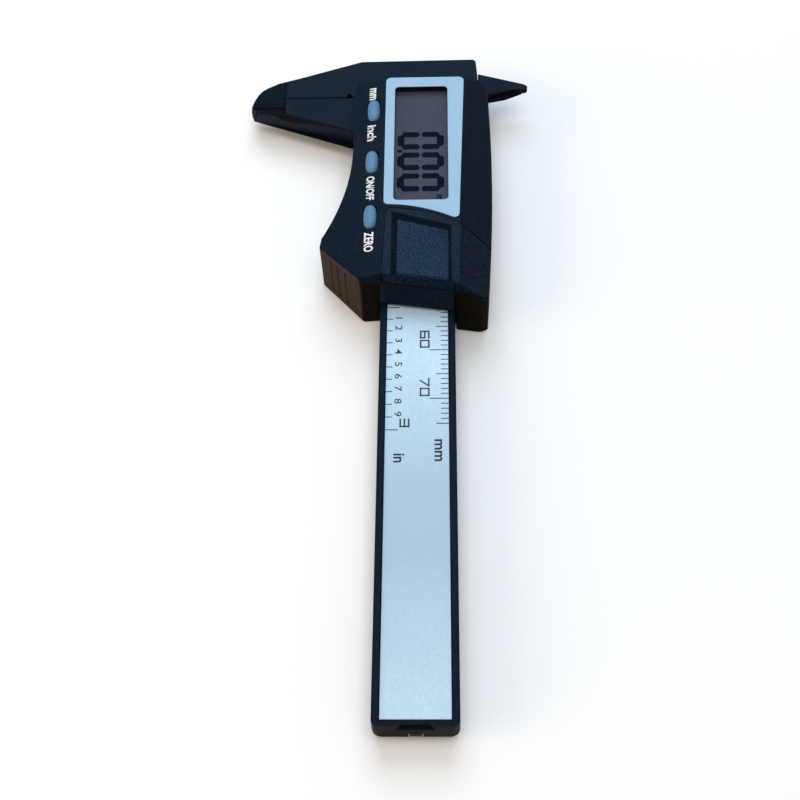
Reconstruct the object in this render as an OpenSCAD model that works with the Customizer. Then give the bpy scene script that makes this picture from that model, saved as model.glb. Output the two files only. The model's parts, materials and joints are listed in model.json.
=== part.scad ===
// Digital caliper, moulded plastic, 75 mm (3 in) range, jaws closed at zero.
//
// Every module is drawn in the caliper's own datum: x = 0 is the plane where the
// outside jaws meet, y = 0 is the middle of the beam, z = 0 is the back of the slider.
// The slider opens along +X, the outside jaws point to -Y, the display faces +Z.
// seat() then moves a piece so that the part's origin is the bottom centre of its box.

/* [Beam] */
// Width of the beam
beam_w = 13.2; // [13:0.1:13.4]
// Distance from the jaw plane to the free end of the beam
beam_reach = 127.2; // [126:0.1:130]
// Height of the beam's back above the resting plane
beam_low = 2.0; // [1.95:0.05:2.1]
// Height of the beam's rim above the resting plane
beam_high = 6.6; // [6.5:0.05:6.6]
// Width of the printed label on the beam
label_w = 10.7; // [10:0.1:10.8]
// Height of the label's face
label_z = 6.3; // [6.25:0.01:6.35]

/* [Jaws] */
// How far the head reaches behind the jaw plane
head_back = 10.2; // [10:0.1:11]
// Reach of the outside jaws from the beam's middle
outside_reach = 33.3; // [32:0.1:34]
// Reach of the inside jaws from the beam's middle
inside_reach = 21.4; // [21:0.1:22]
// Underside of the outside jaws
jaw_low = 2.7; // [2.5:0.1:3]
// Top of the head and of all the jaws
jaw_high = 7.5; // [7.4:0.1:7.6]
// Height of the plane where the two inside jaws pass each other
lap_z = 6.35; // [6.3:0.01:6.4]

/* [Slider] */
// Height of the display plane
case_high = 12.8; // [12.7:0.05:13]
// Wall of the upper case
wall = 1.2; // [1:0.1:1.3]
// Side of the case over the buttons, from the beam's middle
case_left = 12.1; // [12:0.1:12.3]
// Side of the case on the inside-jaw side, at its fullest
case_right = 13.8; // [13.7:0.1:14]
// Clearance between the beam and the frame's slot
slide_gap = 0.12; // [0.1:0.01:0.15]
// Travel of the slider
travel = 75; // [70:1:75]

/* [Display and buttons] */
// Length of the visible window, along the beam
window_l = 28.6; // [28:0.1:29]
// Width of the visible window
window_w = 10.0; // [9.8:0.1:10.2]
// Length of a button's oval
button_l = 5.4; // [5.2:0.1:5.8]
// Width of a button's oval
button_w = 2.4; // [2.3:0.1:2.5]
// Clearance around a button in its hole
button_gap = 0.1; // [0.08:0.01:0.12]
// Travel of a button
press = 0.4; // [0.3:0.05:0.4]

/* [Cell] */
// Diameter of the button cell
cell_d = 11.6; // [11.4:0.1:11.6]
// Height of the button cell
cell_h = 4.2; // [4:0.1:4.2]

/* [Hidden] */
$fn = 48;

// Colours
black = "#1b1c20";
silver = "#b9bfc6";
steel_blue = "#a9bccb";
board_green = "#1f5a38";
metal = "#b8babd";
gold = "#b9985a";

// Origin: bottom centre of the whole part's box
seat_x = -(beam_reach - head_back) / 2;
seat_y = (outside_reach - inside_reach) / 2;

// A length longer than any piece, and the overlap that keeps cuts clean
far = 200;
eps = 0.1;

// Closed jaws leave this much between their faces
jaw_gap = 0.02;

// Beam details
rim_end = 0.8;
label_depth = 0.2;
strip_h = 0.6;
recess_w = label_w + 0.3;
recess_floor = label_z - label_depth - strip_h;
recess_start = 1.2;
label_end = beam_reach - rim_end - 0.35;
strip_inset = 0.08;
end_notch_depth = 0.45;
end_notch_half = 2.1;
end_notch_flare = 1.0;
end_notch_h = 1.6;
groove_w = 2.2;
groove_top = beam_low + 1.4;
pocket_w = 5.0;
rod_w = 1.9;
rod_low = beam_low + 0.15;
rod_h = 1.0;
foot_x = 32;
foot_l = 5;
foot_w = 4.6;
peg_r = 0.8;
peg_spacing = 2.4;

// Case: trailing end line, arcs of both sides and the two sloping faces
case_front = 0.3;
end_x0 = 50.0;
end_lean = 0.156;
grip_arc_x = 17.8;
grip_arc_r = 44;
grip_corner = [40.5, -17.55];
grip_mid = [44.6, -13.95];
grip_end = [49.15, -9.9];
end_knee_y = -6.4;
side_arc_x = 19.5;
side_arc_r = 390;
end_corner_y = 11.2;
panel_y = -6.2;
panel_slope = 10.5;
facet_y = 9.15;
facet_turn = 2.1;
facet_slope = 30;
bevel_low = 11.2;
bevel_back = 0.8;
bevel_drop = 0.4;

// Frame and back plate
plate_h = 1.1;
web_h = 0.75;
frame_high = 6.3;
fit = 0.1;
gib_x = [10, 40];
gib_low = 2.4;
gib_room = 0.75;
left_root_x = 9.6;
left_root_y = -7.0;
right_root_x = 3.2;
right_root_y = 9.0;

// Inside stack
board_low = 6.9;
board_h = 0.8;
board_room = 10.7;
board_top = board_low + board_h;
film_low = 6.75;
film_h = 0.1;
holder_x = [1.9, 32.6];
holder_y = [-6.25, 7.5];
holder_high = 11.3;
holder_wall = 0.3;
glass_low = 10.3;
glass_h = 1.2;
window_x = 17.2;
window_y = 0.65;
window_ledge = 0.4;
ledge_low = 11.85;
bezel_h = 0.12;

// Screws: places of the case screws and of the board screws
case_screw_at = [[15, -9.4], [43, -11.0], [4.6, 10.4], [45.5, 10.0]];
board_screw_at = [[3.4, -9.2], [28.3, -9.4], [30, 9.0]];
screw_head_r = 1.5;
head_recess = 0.75;
screw_r = 0.8;
board_head_r = 1.1;
board_screw_r = 0.6;

// Buttons: middle of each oval
button_at = [[8.6, -8.35], [21.7, -8.45], [34.9, -8.5]];
button_proud = 0.45;
flange_h = 0.7;
dome_r = 1.9;
dome_h = 0.45;

// Cell bay
cell_x = 41.9;
cell_y = 0.9;
bay_floor = 7.4;
bay_r = cell_d / 2 + 0.2;
bay_x = 34.8;
cover_h = 0.75;
cover_gap = 0.08;
lip_deep = 0.9;

// ---------------------------------------------------------------- helpers

module seat() {
    translate([seat_x, seat_y, 0]) children();
}

module slab(x, y, z) {
    translate([x[0], y[0], z[0]]) cube([x[1] - x[0], y[1] - y[0], z[1] - z[0]]);
}

module prism(points, low, high) {
    translate([0, 0, low]) linear_extrude(high - low) polygon(points);
}

module rod(at, r, low, high) {
    translate([at[0], at[1], low]) cylinder(r = r, h = high - low);
}

// Points of an arc about c
function arc(c, r, start, stop) = [for (i = [0 : 4])
    let (a = start + i * (stop - start) / 4) c + r * [cos(a), sin(a)]];

// Oval with straight sides, long axis along X
module oval(at, l, w, low, high) {
    reach = (l - w) / 2;
    slab([at[0] - reach, at[0] + reach], [at[1] - w / 2, at[1] + w / 2], [low, high]);
    for (side = [-1, 1])
        rod([at[0] + side * reach, at[1]], w / 2, low, high);
}

// Rectangle with rounded corners
module round_slab(x, y, r, low, high) {
    slab([x[0] + r, x[1] - r], y, [low, high]);
    slab(x, [y[0] + r, y[1] - r], [low, high]);
    for (cx = [x[0] + r, x[1] - r], cy = [y[0] + r, y[1] - r])
        rod([cx, cy], r, low, high);
}

// Trailing end of the case at height y across the beam
function end_at(y) = end_x0 + end_lean * y;

// Outline of the case, drawn in by d all round
function grip_side(d) = [for (i = [0 : 12])
    let (x = grip_arc_x + i * (grip_corner[0] - 2 - grip_arc_x) / 12)
    [x, d - case_left - grip_arc_r + sqrt(pow(grip_arc_r, 2) - pow(x - grip_arc_x, 2))]];

function right_side(d) = [for (i = [0 : 10])
    let (x = end_at(end_corner_y) - 0.6 - d - i * (end_at(end_corner_y) - 0.6 - 2 * d - case_front) / 10)
    [x, case_right - d - side_arc_r + sqrt(pow(side_arc_r, 2) - pow(x - side_arc_x, 2))]];

function case_outline(d) = concat(
    [[case_front + d, d - case_left]],
    grip_side(d),
    [[grip_corner[0] - 0.35 * d, grip_corner[1] + 1.35 * d],
     [grip_mid[0] - 0.7 * d, grip_mid[1] + 0.72 * d],
     [grip_end[0] - 1.05 * d, grip_end[1] + 0.4 * d],
     [end_at(end_knee_y) - d, end_knee_y],
     [end_at(end_corner_y) - d, end_corner_y - 0.3 * d]],
    right_side(d));

// Everything under the display plane and under the two sloping faces, lowered by t
module below_skin(t) {
    difference() {
        slab([-far, far], [-far, far], [-far, case_high - t]);
        translate([0, panel_y, case_high - t]) rotate([panel_slope, 0, 0])
            slab([-far, far], [-far, 0], [0, far]);
        translate([0, facet_y, case_high - t]) rotate([0, 0, -facet_turn])
            rotate([-facet_slope, 0, 0]) slab([-far, far], [0, far], [0, far]);
    }
}

// Space beyond the trailing end, from a plane out by g
module past_end(g) {
    translate([end_x0, 0, 0]) rotate([0, 0, -atan(end_lean)])
        slab([g, far], [-far, far], [-far, far]);
}

// Bevel along the top of the trailing end; it turns at the knee, towards the grip
module end_bevel() {
    grip_turn = atan2(grip_end[0] - end_at(end_knee_y), end_knee_y - grip_end[1]);
    translate([end_at(end_knee_y), end_knee_y, bevel_low]) {
        rotate([0, 0, -atan(end_lean)]) bevel_slab([0, far]);
        rotate([0, 0, grip_turn]) bevel_slab([-far, 0]);
    }
}

module bevel_slab(y) {
    rotate([0, -atan2(bevel_back, case_high - bevel_low), 0]) slab([0, far], y, [0, far]);
}

module case_solid(d, low = 0) {
    difference() {
        intersection() {
            prism(case_outline(d), low, case_high);
            below_skin(d);
        }
        translate([-d, 0, -bevel_drop * d]) end_bevel();
    }
}

// ---------------------------------------------------------------- beam and fixed jaws

// Back of the fixed outside jaw, from the head's corner to the tip
fixed_jaw_outline = [[0, left_root_y], [0, -outside_reach + 0.1], [-0.3, -outside_reach],
    [-0.9, -33.0], [-1.6, -32.55], [-2.45, -31.8], [-3.05, -31.0], [-3.5, -30.0],
    [-3.9, -28.8], [-5.95, -22.7],
    [0.2 - head_back, -11.4], [0.2 - head_back, left_root_y]];

head_outline = [[0, -12.5], [0.6 - head_back, -12.5], [0.2 - head_back, -11.4], [-head_back, 10.9],
    [-head_back + 0.5, 11.4], [-6.0, 11.65], [-0.1, 11.65], [0, 11.5]];

// Thins the tip of an outside jaw to a knife edge on the jaw plane
module knife_cut(side) {
    tip_y = -26.2;
    edge_z = jaw_high - 2.8;
    back_x = 4.2;
    drop = atan2(jaw_high - edge_z, back_x);
    translate([0, tip_y, edge_z]) rotate([0, -side * drop, 0])
        slab([-far, far], [-far, 0], [0, far]);
}

// Inside jaws: the meeting line, and the near and far edges of the blades
edge_x = -1.45;
arm_y = 11.75;

fixed_blade_edge = [[0.6, 13.75], [-0.15, 16.25], [-0.75, 18.2], [-1.3, 20.2]];

module fixed_inside_jaw() {
    blade_low = 5.2;
    tip_rise = 9;
    difference() {
        union() {
            prism([[-5.8, 11.0], [-0.1, 11.0], [-0.1, 13.6], [edge_x, 13.6], [-5.6, 12.6]],
                jaw_low + 0.3, lap_z - 0.05);
            prism(concat([[edge_x, 11.0], [-0.1, 11.0], [-0.1, 13.6]], fixed_blade_edge,
                [[edge_x, inside_reach - 0.8]]), blade_low, lap_z - 0.05);
        }
        // Under side of the blade slopes up to its near edge
        translate([0.75, 13.62, lap_z - 0.3]) rotate([0, 0, 12]) rotate([0, 45, 0])
            slab([0, far], [0, far], [-far, far]);
        // and it thins towards its tip
        translate([0, 14, blade_low]) rotate([tip_rise, 0, 0]) slab([-far, far], [0, far], [-far, 0]);
    }
}

module beam_bar() {
    corner = 1.0;
    cut = 0.3;
    half = beam_w / 2;
    start = -head_back + 1;
    prism([[start, -half], [beam_reach - corner, -half], [beam_reach - cut, cut - half],
        [beam_reach, corner - half], [beam_reach, half - corner], [beam_reach - cut, half - cut],
        [beam_reach - corner, half], [start, half]], beam_low, beam_high);
}

// Shallow notch with flared sides in the top of the end wall
module end_notch() {
    prism([[beam_reach - end_notch_depth, -end_notch_half],
        [beam_reach - end_notch_depth, end_notch_half],
        [beam_reach + eps, end_notch_half + end_notch_flare],
        [beam_reach + eps, -end_notch_half - end_notch_flare]],
        beam_high - end_notch_h, beam_high + eps);
}

module beam() {
    seat() color(black) difference() {
        union() {
            beam_bar();
            prism(head_outline, beam_low, jaw_high);
            difference() {
                prism(fixed_jaw_outline, jaw_low, jaw_high);
                knife_cut(-1);
            }
            fixed_inside_jaw();
        }
        // Recess for the scale strip and its label
        slab([recess_start, beam_reach - rim_end], [-recess_w / 2, recess_w / 2],
            [recess_floor, beam_high + eps]);
        end_notch();
        // Relief hole at the root of the outside jaws
        rod([-0.4, -13.6], 0.5, 0, far);
        // Groove of the depth rod, and the pocket that limits its foot
        slab([foot_x - 3, beam_reach + eps], [-groove_w / 2, groove_w / 2],
            [beam_low - eps, groove_top]);
        slab([foot_x - 0.4, foot_x + foot_l + travel + 0.3], [-pocket_w / 2, pocket_w / 2],
            [beam_low - eps, groove_top]);
    }
}

module scale_strip() {
    seat() color(gold)
        slab([recess_start + fit, label_end - strip_inset],
            [strip_inset - label_w / 2, label_w / 2 - strip_inset],
            [recess_floor, recess_floor + strip_h]);
}

module scale_label() {
    seat() color(silver)
        slab([recess_start + fit, label_end], [-label_w / 2, label_w / 2], [recess_floor + strip_h, label_z]);
}

// ---------------------------------------------------------------- slider frame

moving_jaw_outline = [[jaw_gap, left_root_y], [jaw_gap, -outside_reach + 0.1],
    [0.4, -outside_reach], [1.3, -32.9], [2.25, -32.0], [2.95, -30.9], [3.45, -29.5],
    [3.85, -27.8], [4.1, -26.4],
    [9.0, -13.3], [left_root_x, -12.3], [left_root_x, left_root_y]];

moving_blade_outline = [[1.0, 12.9], [0.1, 13.4], [-0.5, 15.2], [-1.1, 17.2], [edge_x, 18.9],
    [edge_x, 20.6], [-1.6, 21.1], [-1.85, inside_reach - 0.06], [-2.15, inside_reach],
    [-2.5, 21.2], [-2.9, 20.6], [-5.8, arm_y + 0.15], [-5.6, arm_y], [1.0, arm_y]];

// Draft of the moving jaw's rear side, less towards the tip
module jaw_draft() {
    draft = 11.8;
    lean = 18.1;
    translate([left_root_x - 0.55, -12.8, jaw_high]) rotate([0, draft, -lean])
        slab([0, far], [-far, 0], [-far, far]);
}

module screw_holes(places, r, low, high) {
    for (at = places) rod(at, r, low, high);
}

module slider_frame() {
    slot = beam_w / 2 + slide_gap;
    seat() color(black) difference() {
        union() {
            intersection() {
                prism(case_outline(wall + fit), plate_h, frame_high);
                slab([case_front + wall + fit, far], [-far, far], [0, far]);
            }
            // Roots of the jaws, flush with the case's sides
            slab([jaw_gap + fit, left_root_x], [-case_left, left_root_y], [0, jaw_high]);
            slab([jaw_gap + fit, right_root_x], [right_root_y, 13.3], [0, jaw_high]);
            difference() {
                prism(moving_jaw_outline, jaw_low, jaw_high);
                knife_cut(1);
                jaw_draft();
            }
            prism(moving_blade_outline, lap_z + 0.05, jaw_high);
        }
        slab([-eps, far], [-slot, slot], [plate_h + web_h, far]);
        // Seat of the gib spring
        slab([gib_x[0] - 1, gib_x[1] + 1], [-slot - gib_room, 0], [gib_low, far]);
        // Room for the board over the roots of the jaws
        slab([case_front + wall, far], [-board_room, board_room], [frame_high, far]);
        screw_holes(case_screw_at, screw_r + 0.1, -eps, far);
        screw_holes(case_screw_at, screw_head_r + 0.15, -eps, head_recess + 0.05);
        for (side = [-1, 1])
            rod([foot_x + foot_l / 2 + side * peg_spacing / 2, 0], peg_r + 0.02, -eps, far);
    }
}

// Bowed leaf that takes up the play beside the beam
module gib_spring() {
    thick = 0.22;
    bow = 0.45;
    steps = 10;
    outer = -beam_w / 2 - 0.05 - bow - thick;
    function bend(i) = bow * sin(180 * i / steps);
    seat() color(metal) prism(concat(
        [for (i = [0 : steps]) [gib_x[0] + i * (gib_x[1] - gib_x[0]) / steps, outer + bend(i)]],
        [for (i = [steps : -1 : 0])
            [gib_x[0] + i * (gib_x[1] - gib_x[0]) / steps, outer + thick + bend(i)]]),
        gib_low + 0.3, beam_high - 0.5);
}

module depth_rod() {
    web_top = plate_h + web_h;
    seat() color(black) {
        slab([foot_x, foot_x + foot_l], [-foot_w / 2, foot_w / 2], [web_top, rod_low + rod_h]);
        slab([foot_x, beam_reach], [-rod_w / 2, rod_w / 2], [rod_low, rod_low + rod_h]);
        for (side = [-1, 1])
            rod([foot_x + foot_l / 2 + side * peg_spacing / 2, 0], peg_r,
                plate_h + 0.05, web_top + eps);
    }
}

// Area of the back plate taken up by the roots of the jaws
module root_clearance(low, high) {
    slab([-far, left_root_x + fit], [-far, left_root_y + fit], [low, high]);
    slab([-far, right_root_x + fit], [right_root_y - fit, far], [low, high]);
}

module back_plate() {
    seat() color(black) difference() {
        prism(case_outline(wall + fit), 0, plate_h);
        root_clearance(-eps, far);
        screw_holes(case_screw_at, screw_r + 0.1, -eps, far);
        screw_holes(case_screw_at, screw_head_r + 0.15, -eps, head_recess);
        round_slab([11, 40], [-7.2, 8.2], 1, -eps, 0.16);
    }
}

module back_label() {
    seat() color(silver) round_slab([11.2, 39.8], [-7.0, 8.0], 0.9, 0.03, 0.16);
}

// Pan-head screws, driven from the back into the posts of the upper case
module case_screws() {
    slot_w = 0.35;
    seat() color(metal) for (at = case_screw_at) difference() {
        union() {
            rod(at, screw_head_r, 0.12, 0.75);
            rod(at, screw_r, 0.7, 9.6);
        }
        for (turn = [0, 90])
            translate([at[0], at[1], 0]) rotate([0, 0, turn])
                slab([-0.9, 0.9], [-slot_w / 2, slot_w / 2], [0, 0.45]);
    }
}

// ---------------------------------------------------------------- upper case

cover_arc_x = 33.2;
cover_arc_y = -5.6;

// Curved front edge of the battery cover
function cover_arc(y) = cover_arc_x + 8.2 * pow((y - cover_arc_y) / 19.4, 2);

// Plan of the battery cover, grown by g
function cover_plan(g) = concat(
    [[60, -6.25 - g], [48.3, -6.2 - g], [cover_arc_x + 0.5, cover_arc_y - g],
     [cover_arc_x - g, cover_arc_y + 0.5]],
    [for (i = [1 : 12]) let (y = cover_arc_y + 0.5 + i * (16 - cover_arc_y) / 12)
        [cover_arc(y) - g, y]],
    [[60, 17]]);

// Lip of the cover over the trailing end, grown by g
module lip_block(g) {
    intersection() {
        past_end(-lip_deep - g);
        slab([end_x0 - 4, end_x0 + 4], [-6.0 - g, 6.6 + g], [bevel_low - g, case_high]);
    }
}

// Shallow upright grooves in the grip's wall, as shares of its length
module grip_grooves() {
    groove_r = 0.42;
    groove_out = 0.2;
    groove_z = [1.2, 10.0];
    for (along = [0.27, 0.44, 0.62])
        rod(grip_corner + along * (grip_end - grip_corner) + [groove_out, -groove_out],
            groove_r, groove_z[0], groove_z[1]);
}

module window_cut(grow, r, low, high) {
    round_slab([window_x - window_l / 2 - grow, window_x + window_l / 2 + grow],
        [window_y - window_w / 2 - grow, window_y + window_w / 2 + grow], r, low, high);
}

// Apron over the beam: this stretch of the trailing end leans out towards its foot
module apron() {
    reach = 1.3;
    root = -1.2;
    top = bevel_low - cover_gap;
    half = beam_w / 2;
    translate([end_x0, 0, 0]) rotate([90, 0, -atan(end_lean)]) translate([0, 0, -half])
        linear_extrude(2 * half)
            polygon([[root, beam_high], [reach, beam_high], [-0.05, top], [root, top]]);
}

module upper_case() {
    seat() color(black) difference() {
        union() {
            difference() {
                case_solid(0);
                case_solid(wall, -eps);
            }
            intersection() {
                case_solid(0.4);
                union() {
                    // Cell bay, closed above the beam
                    slab([bay_x, far], [-6.4, 8.3], [beam_high + 0.15, far]);
                    // Posts for the case screws and the board screws
                    screw_holes(case_screw_at, 1.9, frame_high, far);
                    screw_holes(board_screw_at, 1.25, board_top, far);
                }
            }
            apron();
        }
        // Tunnel for the beam, and the gaps where the jaws come out
        slab([-far, far], [-beam_w / 2 - 0.3, beam_w / 2 + 0.3], [-eps, beam_high + 0.15]);
        root_clearance(-eps, jaw_high + 0.05);
        window_cut(window_ledge, 1.2, ledge_low, far);
        window_cut(0, 0.8, 0, far);
        for (at = button_at)
            oval(at, button_l + 2 * button_gap, button_w + 2 * button_gap, board_top, far);
        // Recess of the battery cover, and the bay of the cell
        difference() {
            prism(cover_plan(cover_gap), beam_high, far);
            below_skin(cover_h + cover_gap);
        }
        lip_block(cover_gap);
        rod([cell_x, cell_y], bay_r, bay_floor, far);
        slab([bay_x - 1, 37.5], [-1, 1], [bay_floor, 8.1]);
        slab([bay_x - 1, 37.5], [2.9, 5.1], [bay_floor, 11.2]);
        grip_grooves();
        screw_holes(case_screw_at, screw_r, -eps, 9.8);
        screw_holes(board_screw_at, board_screw_r, -eps, 10);
    }
}

// Self-adhesive frame round the window; its near end follows the battery cover
module display_bezel() {
    r = 1.0;
    front = case_front + 0.1;
    left = -6.1;
    right = facet_y - 0.35;
    tip = [34.8, 6.75];
    tip_r = 0.85;
    border = 0.75;
    outline = concat(arc([front + r, left + r], r, 180, 270), arc([31.5, left + r], r, 270, 335),
        [for (y = [-4.2 : 1.0 : 5.8]) [cover_arc(y) - border, y]],
        arc(tip, tip_r, -27, 88), arc([front + r, right - r], r, 90, 180));
    seat() color(steel_blue) difference() {
        prism(outline, case_high, case_high + bezel_h);
        window_cut(0, 0.8, 0, far);
    }
}

module display_window() {
    seat() color("#9fb0b8", 0.35)
        window_cut(window_ledge - 0.08, 1.12, ledge_low, case_high - 0.02);
}

module lcd_glass() {
    seat() color("#857f8e")
        slab([holder_x[0] + holder_wall, holder_x[1] - holder_wall],
            [holder_y[0] + holder_wall, holder_y[1] - holder_wall],
            [glass_low, glass_low + glass_h]);
}

module lcd_reflector() {
    seat() color("#a7a9b2") slab([3.4, 31.0], [-3.9, 5.0], [glass_low - 0.15, glass_low]);
}

zebra_x = [3.4, 31.0];
zebra_y = [[-5.7, -4.4], [5.6, 6.9]];

module lcd_holder() {
    seat() color("#e8e8e2") difference() {
        slab(holder_x, holder_y, [board_top, holder_high]);
        slab([holder_x[0] + holder_wall - 0.02, holder_x[1] - holder_wall + 0.02],
            [holder_y[0] + holder_wall - 0.02, holder_y[1] - holder_wall + 0.02], [glass_low, far]);
        slab([3.35, 31.05], [-3.95, 5.05], [glass_low - 0.15, far]);
        slab([4.5, 30], [-3.6, 4.8], [0, glass_low - 0.5]);
        for (y = zebra_y) slab([3.35, 31.05], [y[0] - 0.05, y[1] + 0.05], [0, far]);
    }
}

// Two conductive rubber strips between the board and the display glass
module zebra_strips() {
    seat() color("#3a3a40") for (y = zebra_y) slab(zebra_x, y, [board_top, glass_low]);
}

module main_board() {
    seat() color(board_green) difference() {
        slab([2, 34], [-10.4, 9.9], [board_low, board_top]);
        screw_holes(case_screw_at, 2.1, 0, far);
        screw_holes(board_screw_at, board_screw_r + 0.1, 0, far);
    }
}

module board_screws() {
    seat() color(metal) for (at = board_screw_at) {
        rod(at, board_head_r, 6.36, board_low);
        rod(at, board_screw_r, board_low - eps, 9.8);
    }
}

// Keeps the board's pads off the beam
module insulating_film() {
    seat() color("#c9b35c")
        slab([2.2, 33.8], [-6.4, 6.4], [film_low, film_low + film_h]);
}

// Resin drop over the measuring chip
module chip_blob() {
    seat() color("#0c0c0e") intersection() {
        rod([17, 0.6], 3.6, board_top, 9.2);
        translate([17, 0.6, board_top - 4.4]) sphere(r = 5.7);
    }
}

module crystal() {
    seat() color(metal) translate([17, 8.6, board_top + 0.75]) rotate([0, 90, 0])
        cylinder(r = 0.75, h = 5.5);
}

module capacitors() {
    seat() color("#b79a72") for (x = [7.5, 10.5, 13.5]) slab([x, x + 1.6], [8.2, 9.0], [board_top, 8.4]);
}

// Metal snap domes under the buttons; they also push the buttons back
module switch_domes() {
    seat() color(metal) for (at = button_at)
        translate([at[0], at[1], board_top]) cylinder(r1 = dome_r, r2 = 0.9, h = dome_h);
}

module button(at) {
    crown = case_high - tan(panel_slope) * (panel_y - at[1]) + button_proud;
    stem_low = board_top + dome_h + 0.1 + press;
    // The flange stays flat under the sloping roof
    inner_top = crown - button_proud - wall - 0.1 - tan(panel_slope) * (button_w / 2 + 0.25);
    seat() color("#7f8fa5") {
        intersection() {
            oval(at, button_l, button_w, inner_top - eps, crown);
            translate([at[0], at[1], crown - 9]) sphere(r = 9, $fn = 96);
        }
        // Flange that stops under the roof, and the stem over the dome
        oval(at, button_l + 0.5, button_w + 0.5, inner_top - flange_h, inner_top);
        rod(at, 0.7, stem_low, inner_top - flange_h + eps);
    }
}

module button_unit() { button(button_at[0]); }
module button_power() { button(button_at[1]); }
module button_zero() { button(button_at[2]); }

// ---------------------------------------------------------------- cell bay

module button_cell() {
    low = bay_floor + 0.4;
    seat() color(metal) {
        rod([cell_x, cell_y], cell_d / 2 - 1.1, low, low + 0.5);
        rod([cell_x, cell_y], cell_d / 2, low + 0.4, low + cell_h);
    }
}

// Leaf bow under the cell, with a tail on the board
module contact_negative() {
    thick = 0.14;
    path = [[32.8, board_top + 0.02], [35.2, board_top + 0.02], [35.8, bay_floor + 0.05],
        [38.0, bay_floor + 0.05], [41.0, bay_floor + 0.24], [43.5, bay_floor + 0.05]];
    points = concat(path, [for (i = [len(path) - 1 : -1 : 0]) path[i] + [0, thick]]);
    seat() color(gold) translate([0, 0.8, 0]) rotate([90, 0, 0])
        linear_extrude(1.6) polygon(points);
}

// Upright leaf against the side of the cell, with a tail on the board
module contact_positive() {
    thick = 0.15;
    leaf_x = 36.45;
    seat() color(gold) {
        slab([32.8, leaf_x], [3.1, 4.9], [board_top + 0.02, board_top + 0.02 + thick]);
        slab([leaf_x - thick, leaf_x], [3.1, 4.9], [board_top + 0.02, 11.0]);
    }
}

// Thumb ramp on the cover: it rises out of a shallow pocket towards the trailing end
ramp_x = [36.2, 48.4];
ramp_y = [-3.4, 5.5];
ramp_low = case_high - 0.45;
ramp_high = case_high + 0.4;
ramp_start = 0.3;
pocket_outline = [[34.0, -4.6], [37.4, 6.1], [44.0, 6.1], [44.0, -4.6]];

module thumb_ramp() {
    translate([0, ramp_y[1], 0]) rotate([90, 0, 0]) linear_extrude(ramp_y[1] - ramp_y[0])
        polygon([[ramp_x[0], ramp_low - ramp_start], [ramp_x[1], ramp_low - ramp_start],
            [ramp_x[1], ramp_high], [ramp_x[0], ramp_low]]);
}

module battery_cover() {
    seat() color(black) {
        difference() {
            intersection() {
                case_solid(0, 9);
                prism(cover_plan(0), 9, far);
            }
            difference() {
                below_skin(cover_h);
                lip_block(0);
            }
            prism(pocket_outline, ramp_low, far);
        }
        thumb_ramp();
    }
}

beam();
scale_strip();
scale_label();
slider_frame();
gib_spring();
depth_rod();
back_plate();
back_label();
case_screws();
upper_case();
display_bezel();
display_window();
lcd_glass();
lcd_reflector();
lcd_holder();
zebra_strips();
main_board();
board_screws();
insulating_film();
chip_blob();
crystal();
capacitors();
switch_domes();
button_unit();
button_power();
button_zero();
button_cell();
contact_positive();
contact_negative();
battery_cover();
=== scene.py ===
"""Digital caliper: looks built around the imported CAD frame.

Lengths named here are in millimetres in the caliper's own datum: x = 0 is the plane where the
outside jaws meet, y = 0 the middle of the beam, z = 0 the back of the slider. at() turns them
into the frame's metres. The slider opens along +X and the display faces +Z.
"""

import json
import math

import bmesh
import bpy
from mathutils import Euler, Matrix, Vector, noise


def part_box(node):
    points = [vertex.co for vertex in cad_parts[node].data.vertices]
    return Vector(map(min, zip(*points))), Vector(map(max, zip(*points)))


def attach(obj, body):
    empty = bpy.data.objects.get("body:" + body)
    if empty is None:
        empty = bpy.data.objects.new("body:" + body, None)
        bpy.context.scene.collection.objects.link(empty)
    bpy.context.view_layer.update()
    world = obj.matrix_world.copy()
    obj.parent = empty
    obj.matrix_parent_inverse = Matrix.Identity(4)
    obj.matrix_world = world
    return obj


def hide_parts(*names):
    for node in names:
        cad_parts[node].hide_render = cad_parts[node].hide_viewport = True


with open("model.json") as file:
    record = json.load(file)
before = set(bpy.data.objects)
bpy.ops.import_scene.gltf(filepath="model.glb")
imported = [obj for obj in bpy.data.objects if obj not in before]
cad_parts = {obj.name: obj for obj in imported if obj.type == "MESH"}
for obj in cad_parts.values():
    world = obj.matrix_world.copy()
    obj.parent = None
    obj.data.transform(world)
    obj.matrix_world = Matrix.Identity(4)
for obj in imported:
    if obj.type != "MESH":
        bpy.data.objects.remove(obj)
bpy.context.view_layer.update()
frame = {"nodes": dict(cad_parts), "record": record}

MM = 0.001
INCH = 25.4
HEAD_BACK = 10.2  # how far the head reaches behind the jaws' plane
LABEL_LOW, LABEL_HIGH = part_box("scale_label")
JAW_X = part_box("beam")[0].x / MM + HEAD_BACK
MID_Y = (LABEL_LOW.y + LABEL_HIGH.y) / 2 / MM
CASE_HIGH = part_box("display_bezel")[0].z / MM  # the case's flat top, which the bezel lies on
LABEL_Z = LABEL_HIGH.z / MM
GLASS_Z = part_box("lcd_glass")[1].z / MM

PANEL_Y = -6.2  # where the button panel starts to slope down from the case's top
PANEL_SLOPE = math.radians(10.5)


def at(x, y, z):
    """A datum point in millimetres as a frame point in metres."""
    return Vector(((x + JAW_X) * MM, (y + MID_Y) * MM, z * MM))


def datum(point):
    """A frame point in metres as a datum point in millimetres."""
    return Vector((point.x / MM - JAW_X, point.y / MM - MID_Y, point.z / MM))


# ---------------------------------------------------------------- materials


WALL_FULL, WALL_NONE = 0.06, 0.22  # the normal's share of z on a full wall, and where a wall ends
BESIDE_BLUR = 0.3
COLOUR_A, COLOUR_B, COLOUR_OUT = 6, 7, 2  # the Mix node's colour sockets


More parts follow.
